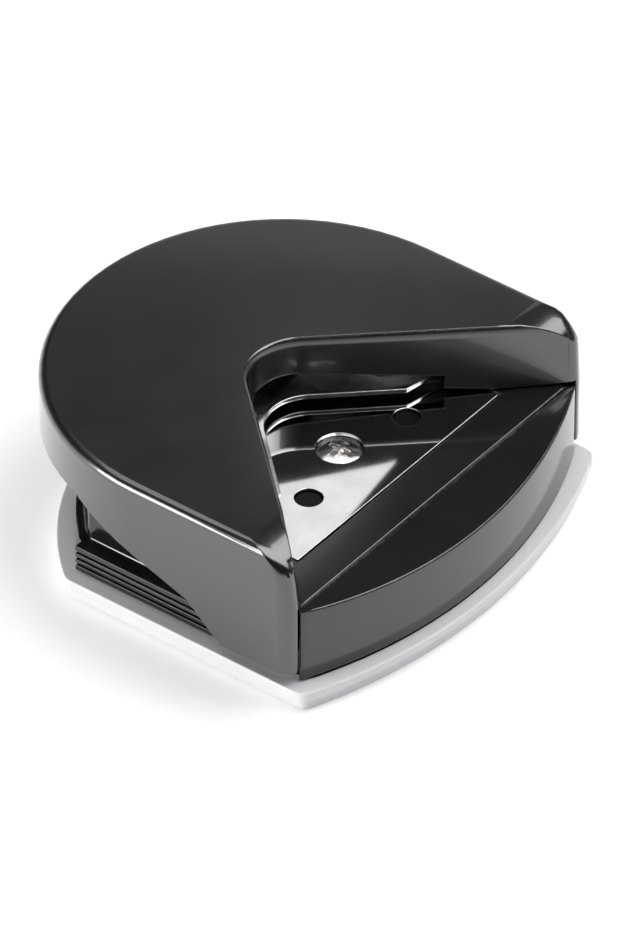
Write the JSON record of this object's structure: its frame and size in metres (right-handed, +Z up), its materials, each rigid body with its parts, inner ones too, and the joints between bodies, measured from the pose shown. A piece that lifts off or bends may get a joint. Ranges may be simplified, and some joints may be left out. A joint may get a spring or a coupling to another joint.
{
  "type": "corner rounder",
  "caption": "Palm-sized corner rounder: a black moulded lever with a V notch presses a rounding punch through a flush steel die plate, over a clear chip tray.",
  "frame": {"origin": "on the resting plane, under the middle of the whole part's bounding box", "axes": "+Y towards the back (the end that is pressed), +X to the right seen from the front, +Z up"},
  "size_m": [0.0606, 0.0628, 0.0232],
  "materials": {
    "black_plastic": "satin moulded black",
    "inner_black_plastic": "plain moulded black, inside",
    "clear_plastic": "clear to milky moulded plastic",
    "bright_steel": "polished steel",
    "spring_steel": "plain drawn or zinc-plated steel",
    "blackened_steel": "blackened steel"
  },
  "bodies": {
    "base": {"base_frame": "black_plastic", "die_plate": "bright_steel", "fence_plate": "bright_steel", "guide_plate": "bright_steel", "guide_block": "inner_black_plastic", "plate_screw": "bright_steel", "locating_pin_left": "blackened_steel", "locating_pin_right": "blackened_steel", "guide_screw_left": "spring_steel", "guide_screw_right": "spring_steel", "pivot_pin": "bright_steel", "return_spring_left": "spring_steel", "return_spring_right": "spring_steel"},
    "lever": {"lever_shell": "black_plastic", "pusher_pad": "spring_steel"},
    "punch": {"punch_blade": "bright_steel", "punch_rivet": "spring_steel", "punch_carrier": "spring_steel", "carrier_stem_left": "bright_steel", "carrier_stem_right": "bright_steel"},
    "tray": {"chip_tray": "clear_plastic"}
  },
  "joints": [
    {"name": "lever_press", "type": "hinge", "parent": "base", "child": "lever", "pos_m": [0, -0.0162, 0.008], "axis": [-1, 0, 0], "range_deg": [0, 6], "stiffness_Nm_per_rad": 0.003, "springref_deg": -24.64},
    {"name": "punch_slide", "type": "slide", "parent": "base", "child": "punch", "axis": [0, 0, -1], "range_m": [0, 0.00278], "stiffness_N_per_m": 8, "springref_m": -0.0055, "deforming": ["return_spring_left", "return_spring_right"]},
    {"name": "tray_pull_off", "type": "slide", "parent": "base", "child": "tray", "axis": [0, 0, -1], "range_m": [0, 0.012]}
  ],
  "couplings": [
    {"joint": "lever_press", "follows": "punch_slide", "rad_per_m": 37.6}
  ]
}
